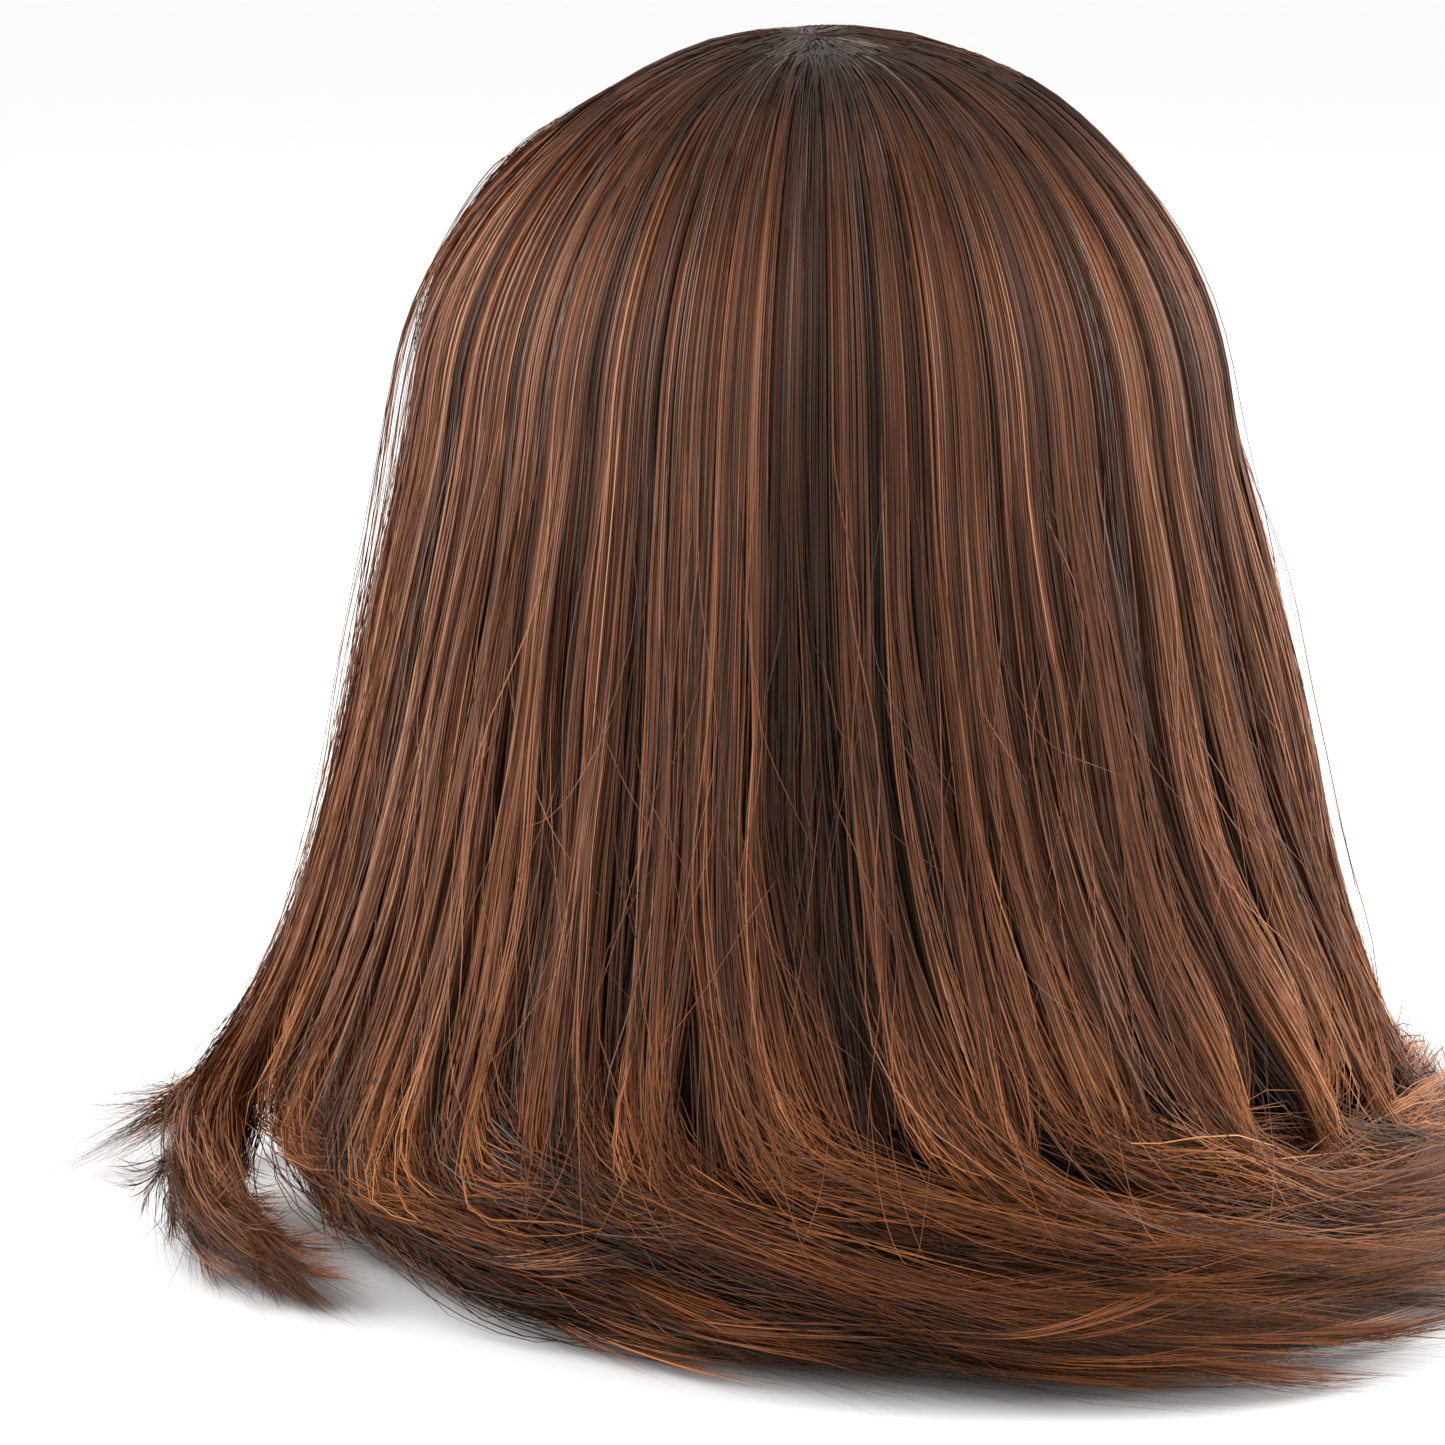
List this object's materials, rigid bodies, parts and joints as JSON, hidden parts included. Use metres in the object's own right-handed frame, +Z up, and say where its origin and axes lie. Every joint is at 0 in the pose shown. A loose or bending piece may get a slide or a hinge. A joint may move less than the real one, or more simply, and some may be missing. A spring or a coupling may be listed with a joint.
{
  "type": "mannequin training head",
  "caption": "Practice head with a moulded face and long straight implanted hair that falls to the ground, on a flat neck base with a clamp socket.",
  "frame": {"origin": "on the ground plane, on the axis of the neck's clamp socket, which is also the middle of the hair's outline on the ground", "axes": "+Z up, the face looks along -Y, and the head's left is +X"},
  "size_m": [0.3429, 0.3428, 0.2651],
  "materials": {
    "skin": "satin",
    "root_binder": "matte",
    "foam": "matte",
    "socket_plastic": "satin",
    "base_plastic": "matte",
    "steel": "satin",
    "eye": "gloss",
    "lash": "matte",
    "hair_copper": "satin",
    "hair_mid": "satin",
    "hair_dark": "satin"
  },
  "bodies": {
    "head": {"head_skin": "skin", "root_binder": "root_binder", "foam_core": "foam", "neck_socket": "socket_plastic", "base_disc": "base_plastic", "base_screw_1": "steel", "base_screw_2": "steel", "base_screw_3": "steel", "base_screw_4": "steel", "eye_left": "eye", "eye_right": "eye", "eyelash_left": "lash", "eyelash_right": "lash", "hair_top_left": "hair_mid", "hair_top_right": "hair_mid", "hair_temple_left": "hair_copper", "hair_side_left": "hair_copper", "hair_back_outer_left": "hair_mid", "hair_back_inner_left": "hair_dark", "hair_back_centre": "hair_dark", "hair_back_inner_right": "hair_mid", "hair_back_outer_right": "hair_copper", "hair_side_right": "hair_mid", "hair_temple_right": "hair_mid", "hair_nape_left": "hair_dark", "hair_nape_centre": "hair_dark", "hair_nape_right": "hair_dark", "lock_front_left": "hair_mid", "lock_left_fold": "hair_dark", "lock_back_left": "hair_mid", "lock_back_centre": "hair_dark", "lock_back_right": "hair_mid", "lock_right_tail": "hair_copper", "lock_side_right": "hair_mid", "lock_front_right": "hair_mid", "lock_front_centre": "hair_mid"},
    "fringe": {"hair_fringe": "hair_copper"}
  },
  "joints": [
    {"name": "fringe_lift", "type": "hinge", "parent": "head", "child": "fringe", "pos_m": [0, -0.0706, 0.24262], "axis": [-1, 0, 0], "range_deg": [0, 50]}
  ]
}
